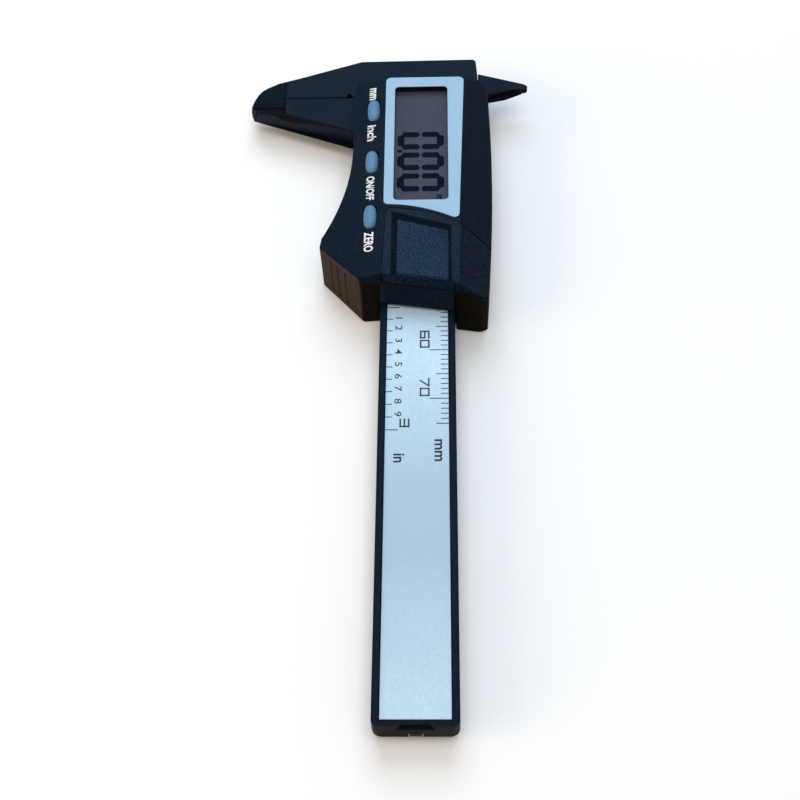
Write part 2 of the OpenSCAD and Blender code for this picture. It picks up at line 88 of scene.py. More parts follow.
class Nodes:
    """A material's node tree, with short calls for the nodes used here."""

    def __init__(self, name):
        self.material = bpy.data.materials.new(name)
        self.material.use_nodes = True
        self.tree = self.material.node_tree
        self.shader = self.tree.nodes["Principled BSDF"]
        self.place = self.add("ShaderNodeTexCoord").outputs["Object"]

    def add(self, kind, **values):
        node = self.tree.nodes.new(kind)
        for key, value in values.items():
            setattr(node, key, value)
        return node

    def link(self, output, target):
        self.tree.links.new(output, target)

    def upright(self):
        """1 on walls, 0 on faces that lie flat."""
        normal = self.add("ShaderNodeSeparateXYZ")
        self.link(self.add("ShaderNodeTexCoord").outputs["Normal"], normal.inputs["Vector"])
        size = self.add("ShaderNodeMath", operation="ABSOLUTE")
        self.link(normal.outputs["Z"], size.inputs[0])
        return self.ramp(size.outputs[0], 1.0, 0.0, WALL_FULL, WALL_NONE)

    def along_beam(self, middle_mm, reach_mm):
        """1 at a place along the beam, in datum millimetres, falling to 0 at reach_mm from it."""
        place = self.add("ShaderNodeSeparateXYZ")
        self.link(self.place, place.inputs["Vector"])
        offset = self.add("ShaderNodeMath", operation="SUBTRACT")
        self.link(place.outputs["X"], offset.inputs[0])
        offset.inputs[1].default_value = at(middle_mm, 0, 0).x
        size = self.add("ShaderNodeMath", operation="ABSOLUTE")
        self.link(offset.outputs[0], size.inputs[0])
        return self.ramp(size.outputs[0], 1.0, 0.0, 0.0, reach_mm * MM)

    def beside(self, y_mm):
        """1 on the outside-jaw side of a datum y, in millimetres, and 0 on the other."""
        place = self.add("ShaderNodeSeparateXYZ")
        self.link(self.place, place.inputs["Vector"])
        edge = at(0, y_mm, 0).y
        return self.ramp(place.outputs["Y"], 1.0, 0.0, edge - BESIDE_BLUR * MM, edge)

    def noise(self, grain_mm, detail=2.0, rough=0.5, stretch=None):
        """Noise whose features are about grain_mm across."""
        node = self.add("ShaderNodeTexNoise")
        node.inputs["Scale"].default_value = 1.0 / (grain_mm * MM)
        node.inputs["Detail"].default_value = detail
        node.inputs["Roughness"].default_value = rough
        place = self.place
        if stretch:
            mapping = self.add("ShaderNodeMapping")
            mapping.inputs["Scale"].default_value = stretch
            self.link(place, mapping.inputs["Vector"])
            place = mapping.outputs["Vector"]
        self.link(place, node.inputs["Vector"])
        return node.outputs["Fac"]

    def ramp(self, value, low, high, start=0.3, stop=0.7):
        """Value mapped from start..stop to low..high, clamped."""
        node = self.add("ShaderNodeMapRange")
        node.inputs["From Min"].default_value = start
        node.inputs["From Max"].default_value = stop
        node.inputs["To Min"].default_value = low
        node.inputs["To Max"].default_value = high
        self.link(value, node.inputs["Value"])
        return node.outputs["Result"]

    def blend(self, factor, first, second):
        """Colour between two, each a colour or another node's output."""
        node = self.add("ShaderNodeMix", data_type="RGBA")
        self.link(factor, node.inputs["Factor"])
        for socket, colour in ((COLOUR_A, first), (COLOUR_B, second)):
            if hasattr(colour, "links"):
                self.link(colour, node.inputs[socket])
            else:
                node.inputs[socket].default_value = (*colour, 1.0)
        return node.outputs[COLOUR_OUT]

    def bump(self, height, depth_mm, strength=1.0, under=None):
        """Relief, laid over another one when it is given."""
        node = self.add("ShaderNodeBump")
        node.inputs["Strength"].default_value = strength
        node.inputs["Distance"].default_value = depth_mm * MM
        self.link(height, node.inputs["Height"])
        if under:
            self.link(under, node.inputs["Normal"])
        return node.outputs["Normal"]

    def into(self, name, value):
        """Puts a number, a colour or a node's output into the shader."""
        socket = self.shader.inputs[name]
        if hasattr(value, "links"):
            self.link(value, socket)
        elif isinstance(value, tuple):
            socket.default_value = (*value, 1.0)
        else:
            socket.default_value = value


# Wall colours: the plastic's black with a painted warm reflection, standing in for warm light on
# upright faces
WALL_SHEEN_DARK, WALL_SHEEN_LIGHT = (0.0030, 0.0016, 0.0007), (0.0110, 0.0062, 0.0030)
# Painted brown sheen for the walls beside GRIP_Y, standing in for warm light falling on them
GRIP_Y, GRIP_SHEEN_DARK, GRIP_SHEEN_LIGHT = -10.0, (0.024, 0.016, 0.009), (0.042, 0.029, 0.017)
# Walls get a duller shine than flat faces of the same plastic, so they mirror less of the bright floor:
# a darkening that stands in for shade
WALL_SPECULAR = 0.02
SHEEN = (0.40, 0.74, 1.0)
PATCH_MM = 9.0  # how far apart the worn, smoother patches lie
SWELL_MM, SWELL_DEPTH = 1.6, 0.012  # the slow unevenness of a moulded face


def moulded(name, dark, light, rough, grain_mm, depth_mm, specular=0.075, sparkle=(0.35, 0.65),
            grip=False):
    """Spark-eroded plastic: fine grain in colour and relief, handled smooth in patches.

    Flat faces are blue-black: the plastic's own tint with a painted bluish sheen. Walls are a warmer
    black, a painted warm reflection, and walls beside GRIP_Y a brighter painted brown sheen when asked.
    """
    n = Nodes(name)
    grain = n.noise(grain_mm, 3.0, 0.6)
    cloud = n.noise(PATCH_MM, 3.0)
    speckle = n.ramp(grain, 0.0, 1.0, *sparkle)
    walls = n.blend(speckle, WALL_SHEEN_DARK, WALL_SHEEN_LIGHT)
    if grip:
        # painted brown sheen on the walls beside GRIP_Y
        walls = n.blend(n.beside(GRIP_Y), walls, n.blend(speckle, GRIP_SHEEN_DARK, GRIP_SHEEN_LIGHT))
    # Painted light: walls take the painted warm reflection, flat faces the blue-black with its painted
    # sheen
    n.into("Base Color", n.blend(n.upright(), n.blend(speckle, dark, light), walls))
    n.into("Specular Tint", SHEEN)
    n.into("Roughness", n.ramp(cloud, rough - 0.06, rough + 0.07))
    n.into("Specular IOR Level", specular)
    relief = n.bump(grain, depth_mm)
    n.into("Normal", n.bump(n.noise(SWELL_MM, 1.0), SWELL_DEPTH, 0.5, relief))
    return n.material


def satin(name, base, shade, rough, grain_mm, metallic=0.0, depth_mm=0.004, stretch=None,
          specular=0.5):
    """Even finish with a slight mottle and a fine relief."""
    n = Nodes(name)
    fine = n.noise(grain_mm, 2.0, 0.5, stretch)
    n.into("Base Color", n.blend(n.ramp(fine, 0.0, 1.0), base, shade))
    n.into("Roughness", n.ramp(n.noise(6.0), rough - 0.05, rough + 0.06))
    n.into("Metallic", metallic)
    n.into("Specular IOR Level", specular)
    n.into("Normal", n.bump(fine, depth_mm))
    return n.material


FILM_DARK, FILM_LIGHT = (0.46, 0.62, 0.74), (0.50, 0.66, 0.78)
FILM_SHADE, FILM_FLECK = (0.33, 0.46, 0.56), (0.30, 0.42, 0.54)
SHADE_X, SHADE_REACH = 93, 30  # a stretch of painted shade along the film: its middle and half its length


def sparkle_print():
    """Silver label film: pale ground with fine grey and bright flecks, and a stretch of painted shade.
    """
    n = Nodes("label_film")
    fleck = n.noise(0.22, 2.0, 0.7)
    cloud = n.noise(14.0, 2.0)
    ground = n.blend(n.ramp(cloud, 0.0, 1.0), FILM_DARK, FILM_LIGHT)
    # painted shade, darkest at SHADE_X along the beam
    shade = n.ramp(n.along_beam(SHADE_X, SHADE_REACH), 0.0, 1.0, 0.0, 0.8)
    ground = n.blend(shade, ground, FILM_SHADE)
    n.into("Base Color", n.blend(n.ramp(fleck, 0.0, 0.6, 0.42, 0.72), ground, FILM_FLECK))
    n.into("Roughness", n.ramp(fleck, 0.30, 0.5))
    n.into("Metallic", 0.1)
    n.into("Normal", n.bump(fleck, 0.006))
    return n.material


def clear_lens():
    """Clear lens: nearly all of it is seen through."""
    n = Nodes("clear_lens")
    n.into("Base Color", (0.10, 0.13, 0.18))
    n.into("Alpha", 0.006)
    n.into("Roughness", n.ramp(n.noise(5.0), 0.05, 0.10))
    n.into("Specular IOR Level", 0.05)
    return n.material


CELL_DARK, CELL_LIGHT = (0.040, 0.044, 0.070), (0.052, 0.058, 0.088)


def liquid_crystal():
    """Grey-purple display cell: even and a little mottled."""
    n = Nodes("liquid_crystal")
    grain = n.noise(0.5, 2.0)
    n.into("Base Color", n.blend(n.ramp(grain, 0.0, 1.0), CELL_DARK, CELL_LIGHT))
    n.into("Roughness", n.ramp(n.noise(3.0), 0.40, 0.50))
    n.into("Specular IOR Level", 0.1)
    n.into("Normal", n.bump(grain, 0.002))
    return n.material


COPPER, MASK = (0.45, 0.25, 0.09), (0.10, 0.16, 0.06)
STRIPES_PER_MM = 0.35


def circuit():
    """Etched electrode stripes under the label."""
    n = Nodes("etched_circuit")
    wave = n.add("ShaderNodeTexWave")
    wave.inputs["Scale"].default_value = STRIPES_PER_MM / MM
    n.link(n.place, wave.inputs["Vector"])
    n.into("Base Color", n.blend(wave.outputs["Fac"], COPPER, MASK))
    n.into("Roughness", n.ramp(n.noise(1.0), 0.3, 0.45))
    return n.material


# Flat faces' colours: the plastic's own blue-black with a painted bluish sheen mixed in
BODY_DARK, BODY_LIGHT = (0.0013, 0.0028, 0.0064), (0.0052, 0.0115, 0.0250)
COVER_LIGHT = (0.0110, 0.0250, 0.0530)

BODY = {"dark": BODY_DARK, "light": BODY_LIGHT, "rough": 0.44, "grain_mm": 0.30, "depth_mm": 0.012}

# Settings of the moulded finishes. Each is two materials, one for flat faces and one for walls,
# with the shine set plainly in both, because an export drops a shine that nodes drive.
MOULDED = {
    "beam_plastic": BODY,
    "frame_plastic": BODY,
    # the case's walls beside GRIP_Y get the painted brown sheen
    "case_plastic": {**BODY, "rough": 0.46, "grain_mm": 0.34, "depth_mm": 0.016, "grip": True},
    "cover_plastic": {**BODY, "light": COVER_LIGHT, "rough": 0.42, "grain_mm": 0.26,
                      "depth_mm": 0.024, "specular": 0.10, "sparkle": (0.45, 0.7)},
}
# Shaded copies of the moulded finishes for walls: the same colours with the duller wall shine, standing
# in for shade
WALLS = {name: moulded(name + "_walls", **{**how, "specular": WALL_SPECULAR})
         for name, how in MOULDED.items()}
MATERIALS = {
    **{name: moulded(name, **how) for name, how in MOULDED.items()},
    "scale_circuit": circuit(),
    "scale_print": sparkle_print(),
    "bezel_film": satin("bezel_film", (0.245, 0.405, 0.560), (0.275, 0.435, 0.590),
                        rough=0.42, grain_mm=0.4, metallic=0.05),
    "clear_window": clear_lens(),
    "lcd_cell": liquid_crystal(),
    "lcd_backing": satin("lcd_backing", (0.50, 0.50, 0.54), (0.58, 0.58, 0.62),
                         rough=0.3, grain_mm=0.3, metallic=0.6),
    "button_plastic": satin("button_plastic", (0.068, 0.175, 0.305), (0.086, 0.200, 0.340),
                            rough=0.40, grain_mm=0.25, specular=0.3),
    "white_plastic": satin("white_plastic", (0.80, 0.80, 0.76), (0.74, 0.74, 0.70),
                           rough=0.5, grain_mm=0.3),
    "circuit_board": satin("circuit_board", (0.02, 0.14, 0.06), (0.03, 0.18, 0.08),
                           rough=0.35, grain_mm=0.8),
    "steel": satin("steel", (0.62, 0.63, 0.65), (0.50, 0.51, 0.54), rough=0.28, grain_mm=0.12,
                   metallic=1.0, depth_mm=0.003, stretch=(1.0, 12.0, 12.0)),
    "contact_brass": satin("contact_brass", (0.70, 0.55, 0.28), (0.62, 0.47, 0.22),
                           rough=0.3, grain_mm=0.15, metallic=1.0),
    "conductive_rubber": satin("conductive_rubber", (0.03, 0.03, 0.034), (0.09, 0.07, 0.09),
                               rough=0.6, grain_mm=0.12),
    "film": satin("film", (0.62, 0.40, 0.10), (0.55, 0.34, 0.08), rough=0.3, grain_mm=0.6),
    "resin": satin("resin", (0.010, 0.010, 0.012), (0.018, 0.018, 0.02), rough=0.2, grain_mm=0.5),
    "ceramic": satin("ceramic", (0.50, 0.36, 0.22), (0.42, 0.30, 0.18), rough=0.5, grain_mm=0.2),
    "back_film": satin("back_film", (0.50, 0.52, 0.55), (0.58, 0.60, 0.63),
                       rough=0.32, grain_mm=0.25, metallic=0.5),
}
PAD_FINISH = {"dark": (0.001, 0.003, 0.009), "light": (0.024, 0.056, 0.122), "rough": 0.36,
              "grain_mm": 0.20, "depth_mm": 0.030, "sparkle": (0.42, 0.72)}
# The sloped band round the pad is the same plastic: its darker colours and duller shine are painted
# shade of its slopes
BAND_FINISH = {"dark": (0.0005, 0.0014, 0.0034), "light": (0.0018, 0.0046, 0.0095), "rough": 0.5,
               "grain_mm": 0.34, "depth_mm": 0.010}
PAD = moulded("pad_plastic", specular=0.10, **PAD_FINISH)
PAD_BAND = moulded("pad_band", specular=0.05, **BAND_FINISH)
BAND_WALLS = moulded("pad_band_walls", specular=WALL_SPECULAR, **BAND_FINISH)
BLACK_INK = satin("black_ink", (0.012, 0.014, 0.020), (0.025, 0.028, 0.034), rough=0.5, grain_mm=0.2)
WHITE_INK = satin("white_ink", (0.86, 0.89, 0.92), (0.78, 0.82, 0.86), rough=0.5, grain_mm=0.2)
LCD_INK = satin("lcd_ink", (0.003, 0.006, 0.016), (0.005, 0.009, 0.021),
                rough=0.45, grain_mm=0.5, specular=0.0)


def paint(obj, material):
    """Makes this the object's only material."""
    obj.data.materials.clear()
    obj.data.materials.append(material)


def paint_walls(obj, material):
    """Gives the upright faces a material of their own, after those the object has."""
    obj.data.materials.append(material)
    last = len(obj.data.materials) - 1
    for polygon in obj.data.polygons:
        if abs(polygon.normal.z) < (WALL_FULL + WALL_NONE) / 2:
            polygon.material_index = last


# ---------------------------------------------------------------- mesh helpers


def add_piece(name, mesh, body, slot, material=None):
    """Links a mesh as a piece that rides on a body and takes its finish from a slot."""
    obj = bpy.data.objects.new(name, mesh)
    bpy.context.scene.collection.objects.link(obj)
    paint(obj, material or MATERIALS[slot])
    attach(obj, body)
    return obj


def smooth_mesh(mesh, degrees=32):
    """Smooth shading with edges over the angle kept sharp."""
    for face in mesh.polygons:
        face.use_smooth = True
    bm = bmesh.new()
    bm.from_mesh(mesh)
    for edge in bm.edges:
        if len(edge.link_faces) == 2:
            edge.smooth = edge.calc_face_angle(0.0) < math.radians(degrees)
    bm.to_mesh(mesh)
    bm.free()


WELD_MM, FLAT_DEGREES = 0.002, 0.6  # corners closer than this are one, and faces flatter are joined


def rounded_copy(node, keep=None, width=0.3, segments=3, shortest=0.5, degrees=24):
    """A copy of a CAD node's mesh with its long outer edges rounded.

    keep(point) says whether the edge with its middle there, in datum millimetres, is rounded.
    """
    bm = bmesh.new()
    bm.from_mesh(frame["nodes"][node].data)
    bmesh.ops.remove_doubles(bm, verts=bm.verts, dist=WELD_MM * MM)
    bmesh.ops.dissolve_limit(bm, angle_limit=math.radians(FLAT_DEGREES), verts=bm.verts, edges=bm.edges)
    chosen = []
    for edge in bm.edges:
        if len(edge.link_faces) != 2 or edge.calc_length() < shortest * MM or not edge.is_convex:
            continue
        if edge.calc_face_angle(0.0) < math.radians(degrees):
            continue
        middle = datum((edge.verts[0].co + edge.verts[1].co) / 2)
        if keep is None or keep(middle):
            chosen.append(edge)
    bmesh.ops.bevel(bm, geom=chosen, offset=width * MM, offset_type="OFFSET", segments=segments,
                    profile=0.5, affect="EDGES", clamp_overlap=False, miter_outer="ARC")
    mesh = bpy.data.meshes.new(node + "_rounded")
    bm.to_mesh(mesh)
    bm.free()
    smooth_mesh(mesh)
    return mesh


def rounded_piece(node, name, body, slot, **how):
    """A rounded copy of a CAD node that stands for it."""
    piece = add_piece(name, rounded_copy(node, **how), body, slot)
    if slot in WALLS:
        paint_walls(piece, WALLS[slot])
    harden(piece)
    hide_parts(node)
    return piece


def harden(obj):
    """Keeps big faces flat-shaded beside their rounded edges."""
    modifier = obj.modifiers.new("normals", "WEIGHTED_NORMAL")
    modifier.keep_sharp = True
    modifier.weight = 80


def loft(rings):
    """A closed mesh through rings of datum points, all with the same number of points."""
    bm = bmesh.new()
    rows = [[bm.verts.new(at(*point)) for point in ring] for ring in rings]
    count = len(rings[0])
    for lower, upper in zip(rows, rows[1:]):
        for i in range(count):
            j = (i + 1) % count
            bm.faces.new((lower[i], lower[j], upper[j], upper[i]))
    bm.faces.new(reversed(rows[0]))
    bm.faces.new(rows[-1])
    mesh = bpy.data.meshes.new("loft")
    bm.to_mesh(mesh)
    bm.free()
    smooth_mesh(mesh, 50)
    return mesh


def boxes_mesh(name, boxes):
    """One mesh of upright boxes, each ((x0, x1), (y0, y1), (z0, z1)) in datum millimetres."""
    bm = bmesh.new()
    for xs, ys, zs in boxes:
        size = Vector((xs[1] - xs[0], ys[1] - ys[0], zs[1] - zs[0])) * MM
        middle = at(sum(xs) / 2, sum(ys) / 2, sum(zs) / 2)
        matrix = Matrix.Translation(middle) @ Matrix.Diagonal((*size, 1.0))
        bmesh.ops.create_cube(bm, size=1.0, matrix=matrix)
    mesh = bpy.data.meshes.new(name)
    bm.to_mesh(mesh)
    bm.free()
    return mesh


def text_mesh(text, height, thick, bold=0.0, width=1.0):
    """Block lettering as a mesh, its lower left at the origin, in metres."""
    curve = bpy.data.curves.new("text", "FONT")
    curve.body = text
    curve.offset = bold
    curve.resolution_u = 4
    obj = bpy.data.objects.new("text", curve)
    bpy.context.scene.collection.objects.link(obj)
    bpy.context.view_layer.update()
    shaped = obj.evaluated_get(bpy.context.evaluated_depsgraph_get())
    mesh = bpy.data.meshes.new_from_object(shaped)
    bpy.data.objects.remove(obj)
    xs = [v.co.x for v in mesh.vertices]
    ys = [v.co.y for v in mesh.vertices]
    scale = height * MM / (max(ys) - min(ys))
    for v in mesh.vertices:
        v.co = Vector(((v.co.x - min(xs)) * scale * width, (v.co.y - min(ys)) * scale, 0.0))
    thicken(mesh, thick)
    return mesh


def thicken(mesh, thick):
    """Gives a flat mesh a thickness in millimetres, upwards."""
    bm = bmesh.new()
    bm.from_mesh(mesh)
    faces = bm.faces[:]
    out = bmesh.ops.extrude_face_region(bm, geom=faces)
    moved = [v for v in out["geom"] if isinstance(v, bmesh.types.BMVert)]
    bmesh.ops.translate(bm, verts=moved, vec=(0.0, 0.0, thick * MM))
    bmesh.ops.recalc_face_normals(bm, faces=bm.faces)
    bm.to_mesh(mesh)
    bm.free()


def joined(name, parts):
    """One mesh from (mesh, matrix) pairs."""
    bm = bmesh.new()
    for mesh, matrix in parts:
        mesh.transform(matrix)
        bm.from_mesh(mesh)
    mesh = bpy.data.meshes.new(name)
    bm.to_mesh(mesh)
    bm.free()
    return mesh


# ---------------------------------------------------------------- beam and scale

INK = 0.012  # half the thickness of a printed mark
RECESS_START, RECESS_HALF, RECESS_Z = 0.5, 6.0, 4.0
ROD_START, ROD_HALF = 20, 3.5
BLADE_ROOT = 12.3


def beam():
    """Beam moulding: outer edges are rounded, but not those of the recess, rod groove or blade."""
    def outer(p):
        in_recess = p.x > RECESS_START and abs(p.y) < RECESS_HALF and p.z > RECESS_Z
        under = p.z < RECESS_Z and abs(p.y) < ROD_HALF and p.x > ROD_START
        blade = p.y > BLADE_ROOT
        return not in_recess and not under and not blade

    piece = rounded_piece("beam", "beam_moulding", "beam_body", "beam_plastic",
                          keep=outer, width=0.28, shortest=0.28)
    tuck_blade(piece.data)


BLADE_TOP, BLADE_SKIN = 6.3, 0.3  # the fixed inside blade's top face and how near it counts as that
BLADE_EDGE_X, EDGE_SLACK = -1.45, 0.02
LAP_START, TUCK_START = 13.7, 18.0
LAP_FILL, BLADE_TUCK = 0.08, 0.25


def tuck_blade(mesh):
    """Lifts the fixed inside blade to a hair under the moving one, and tucks its far edge below."""
    for v in mesh.vertices:
        p = datum(v.co)
        if p.y > LAP_START and p.z > BLADE_TOP - BLADE_SKIN:
            v.co.z += LAP_FILL * MM
        if p.y > TUCK_START and p.x < BLADE_EDGE_X + EDGE_SLACK:
            v.co.x -= BLADE_TUCK * MM


def label():
    """Printed film in the beam's recess."""
    rounded_piece("scale_label", "scale_film", "beam_body", "scale_print", width=0.05, segments=1)


SCALE_MM, SCALE_TENTHS = 75, 30
TICK_HALF, TICK_INSET = 0.09, 0.05
TEN_TICK, FIVE_TICK, ONE_TICK = 3.2, 2.05, 1.25
INCH_TICK, TENTH_TICK = 2.1, 1.05


def ticks():
    """Millimetre lines on one edge of the label and tenths of an inch on the other."""
    low, high = LABEL_Z - INK, LABEL_Z + INK
    right = datum(LABEL_HIGH).y - TICK_INSET
    left = datum(LABEL_LOW).y + TICK_INSET
    boxes = []
    for i in range(1, SCALE_MM + 1):
        length = TEN_TICK if i % 10 == 0 else FIVE_TICK if i % 5 == 0 else ONE_TICK
        boxes.append(((i - TICK_HALF, i + TICK_HALF), (right - length, right), (low, high)))
    for i in range(1, SCALE_TENTHS + 1):
        length = INCH_TICK if i % 10 == 0 else TENTH_TICK
        x = i * INCH / 10
        boxes.append(((x - TICK_HALF, x + TICK_HALF), (left, left + length), (low, high)))
    return boxes_mesh("ticks", boxes)


# Squared numerals as bars on a grid of 0..1 across and up: (x0, x1), (y0, y1)
BAR = 0.17
SIDES = {"top": ((0, 1), (1 - BAR, 1)), "middle": ((0, 1), (0.5 - BAR / 2, 0.5 + BAR / 2)),
         "bottom": ((0, 1), (0, BAR)), "upper_left": ((0, BAR), (0.5, 1)),
         "lower_left": ((0, BAR), (0, 0.5)), "upper_right": ((1 - BAR, 1), (0.5, 1)),
         "lower_right": ((1 - BAR, 1), (0, 0.5))}
NUMERALS = {
    "0": ("top", "bottom", "upper_left", "lower_left", "upper_right", "lower_right"),
    "1": ("upper_right", "lower_right"),
    "2": ("top", "upper_right", "middle", "lower_left", "bottom"),
    "3": ("top", "middle", "bottom", "upper_right", "lower_right"),
    "4": ("upper_left", "middle", "upper_right", "lower_right"),
    "5": ("top", "upper_left", "middle", "lower_right", "bottom"),
    "6": ("top", "upper_left", "lower_left", "middle", "lower_right", "bottom"),
}
NUMERAL_SIZE = 1.7
NUMERAL_GAP = 0.27
SEVEN_FOOT, SEVEN_HEAD, SEVEN_DROP = (0.25, 0.58), 0.36, 0.2  # a 7's slanted stem, below its bar
TENS_BACK, TENS_Y = 0.45, 0.42  # how far before its line a number ends, and its lower edge
INCHES_BACK, INCHES_Y = 0.5, -2.95
TENTHS_BACK, TENTHS_Y, TENTHS_H = 0.12, -3.85, 1.2


def squared_number(text, end_x, low_y):
    """Boxes of a number in squared numerals that ends at end_x; a 7 has a slanted stem."""
    boxes, slants = [], []
    for place, digit in enumerate(reversed(text)):
        left = end_x - (place + 1) * NUMERAL_SIZE - place * NUMERAL_GAP
        if digit == "7":
            boxes.append(bar_box(left, low_y, SIDES["top"]))
            right, high_y = left + NUMERAL_SIZE, low_y + NUMERAL_SIZE - SEVEN_DROP
            slants.append([(left + SEVEN_FOOT[0], low_y), (left + SEVEN_FOOT[1], low_y),
                           (right, high_y), (right - SEVEN_HEAD, high_y)])
        else:
            boxes += [bar_box(left, low_y, SIDES[side]) for side in NUMERALS[digit]]
    return boxes, slants


def bar_box(left, low, side):
    """The box of one side of a squared numeral with its lower left there."""
    (x0, x1), (y0, y1) = side
    size = NUMERAL_SIZE
    return ((left + x0 * size, left + x1 * size), (low + y0 * size, low + y1 * size),
            (LABEL_Z - INK, LABEL_Z + INK))


def big_numbers():
    """Tens of millimetres on one side and whole inches on the other."""
    boxes, slants = [], []
    for tens in range(1, 8):
        more = squared_number(str(tens * 10), tens * 10 - TENS_BACK, TENS_Y)
        boxes, slants = boxes + more[0], slants + more[1]
    for inch in range(1, 4):
        more = squared_number(str(inch), inch * INCH - INCHES_BACK, INCHES_Y)
        boxes, slants = boxes + more[0], slants + more[1]
    bm = bmesh.new()
    for slant in slants:
        bm.faces.new([bm.verts.new(at(x, y, LABEL_Z - INK)) for x, y in slant])
    stems = bpy.data.meshes.new("stems")
    bm.to_mesh(stems)
    bm.free()
    thicken(stems, 2 * INK)
    whole = Matrix.Identity(4)
    return [(boxes_mesh("bars", boxes), whole), (stems, whole)]


def number(text, height, end_x, low_y, bold=0.02, width=1.0):
    """Scale lettering that ends at end_x, as (mesh, matrix)."""
    mesh = text_mesh(text, height, 2 * INK, bold, width)
    length = max(v.co.x for v in mesh.vertices) / MM
    return mesh, Matrix.Translation(at(end_x - length, low_y, LABEL_Z - INK))


def numbers():
    """All figures of the scale, and the name of each unit past its end."""
    parts = big_numbers()
    for tenth in range(1, SCALE_TENTHS):
        if tenth % 10:
            end = tenth * INCH / 10 - TENTHS_BACK
            parts.append(number(str(tenth % 10), TENTHS_H, end, TENTHS_Y, bold=0.005, width=1.3))
    parts.append(number("mm", height=1.3, end_x=82.3, low_y=2.9, width=1.1))
    parts.append(number("in", height=1.8, end_x=82.5, low_y=TENTHS_Y))
    return parts


def scale_marks():
    """Everything printed on the film, as one piece."""
    mesh = joined("scale_marks", [(ticks(), Matrix.Identity(4)), *numbers()])
    add_piece("scale_marks", mesh, "beam_body", "scale_print", BLACK_INK)


# ---------------------------------------------------------------- slider

CASE_X, CASE_Y, CASE_FLOOR = (1.0, 48.2), (-10.3, 8.9), 1.0  # the openings and ribs lie inside these
GROOVE_X, GROOVE_Y, GROOVE_Z = (41.2, 48.0), -10.8, (0.8, 10.4)
FACET_Y, FACET_END_X, FACET_END_Y = (7.0, 9.3), 33, 9.0
CASE_FOOT = 0.2


def between(value, limits):
    return limits[0] < value < limits[1]


def case():
    """Case shell: its outline and the far facet's line are rounded, openings and grooves aren't."""
    def outline(p):
        inside = between(p.x, CASE_X) and between(p.y, CASE_Y) and p.z > CASE_FLOOR
        grooves = between(p.x, GROOVE_X) and p.y < GROOVE_Y and between(p.z, GROOVE_Z)
        far = p.x < FACET_END_X or p.y > FACET_END_Y
        facet_line = p.z > CASE_HIGH - 0.1 and between(p.y, FACET_Y) and far
        return p.z > CASE_FOOT and not grooves and (facet_line or not inside)

    rounded_piece("upper_case", "case_shell", "slider", "case_plastic",
                  keep=outline, width=0.3, shortest=0.45)


JAW_ROOT = -12.3


def frame_and_back():
    """Slider frame with its jaws, the lid below it and the lid's film."""
    def jaws(p):
        return p.y < JAW_ROOT

    rounded_piece("slider_frame", "jaw_frame", "slider", "frame_plastic",
                  keep=jaws, width=0.35, shortest=0.4)
    rounded_piece("back_plate", "back_cover", "slider", "case_plastic",
                  keep=lambda p: p.z < 0.1, width=0.2, shortest=0.6)
    rounded_piece("back_label", "back_film_plain", "slider", "back_film", width=0.04, segments=1)


def bezel():
    """Thin frame round the window, with only its upper edge rounded."""
    rounded_piece("display_bezel", "display_frame", "slider", "bezel_film",
                  keep=lambda p: p.z > CASE_HIGH + 0.05, width=0.05, segments=2, shortest=0.05)


SEGMENT = 1.3
SEGMENT_GAP = 0.10
TIP_SHARE = 0.6  # how long a segment's point is, as a share of half its width
DIGIT_L, DIGIT_H = 4.4, 8.7
DIGIT_Y = -3.8
DIGITS, FIRST_DIGIT, DIGIT_PITCH = 3, 13.5, 5.2
DOT_GAP, DOT_HALF, DOT_H = 0.42, 0.36, 0.85
ICON_X, ICON_Y, ICON_H = 29.1, 3.5, 0.95


def segment(start, stop, half):
    """Outline of a bar with pointed ends between two points of the display plane."""
    along = (stop - start).normalized()
    side = Vector((-along.y, along.x))
    a, b = start + along * SEGMENT_GAP, stop - along * SEGMENT_GAP
    tip = half * TIP_SHARE
    return [a, a + along * tip - side * half, b - along * tip - side * half,
            b, b - along * tip + side * half, a + along * tip + side * half]


def zero_digit(x):
    """Six lit segments of a seven-segment zero whose left side is at x."""
    half = SEGMENT / 2
    left, right = x + half, x + DIGIT_L - half
    low, middle, high = DIGIT_Y + half, DIGIT_Y + DIGIT_H / 2, DIGIT_Y + DIGIT_H - half
    corners = [(left, low), (right, low), (right, middle), (right, high), (left, high), (left, middle)]
    return [segment(Vector(corners[i]), Vector(corners[(i + 1) % 6]), half) for i in range(6)]


def lcd_digits():
    """The zeros, the point after the first and the small unit sign."""
    shapes = [s for i in range(DIGITS) for s in zero_digit(FIRST_DIGIT + i * DIGIT_PITCH)]
    dot_x = FIRST_DIGIT + DIGIT_L + DOT_GAP
    x0, x1, y1 = dot_x - DOT_HALF, dot_x + DOT_HALF, DIGIT_Y + DOT_H
    shapes.append([Vector((x0, DIGIT_Y)), Vector((x1, DIGIT_Y)), Vector((x1, y1)), Vector((x0, y1))])
    bm = bmesh.new()
    for shape in shapes:
        bm.faces.new([bm.verts.new(at(p.x, p.y, GLASS_Z)) for p in shape])
    mesh = bpy.data.meshes.new("lcd_digits")
    bm.to_mesh(mesh)
    bm.free()
    thicken(mesh, INK)
    icon = text_mesh("mm", ICON_H, INK, bold=0.03)
    icon_place = Matrix.Translation(at(ICON_X, ICON_Y, GLASS_Z))
    whole = joined("lcd_digits", [(mesh, Matrix.Identity(4)), (icon, icon_place)])
    add_piece("lcd_digits", whole, "slider", "lcd_cell", LCD_INK)


# Wording beside the buttons: text, where it starts, its length and its height
LEGENDS = [("mm", 2.65, 3.1, 1.3), ("inch", 12.4, 4.0, 1.75), ("ON/OFF", 25.3, 5.7, 1.55),
           ("ZERO", 38.5, 4.5, 1.75)]
LEGEND_Y, LEGEND_BOLD = -8.6, 0.028


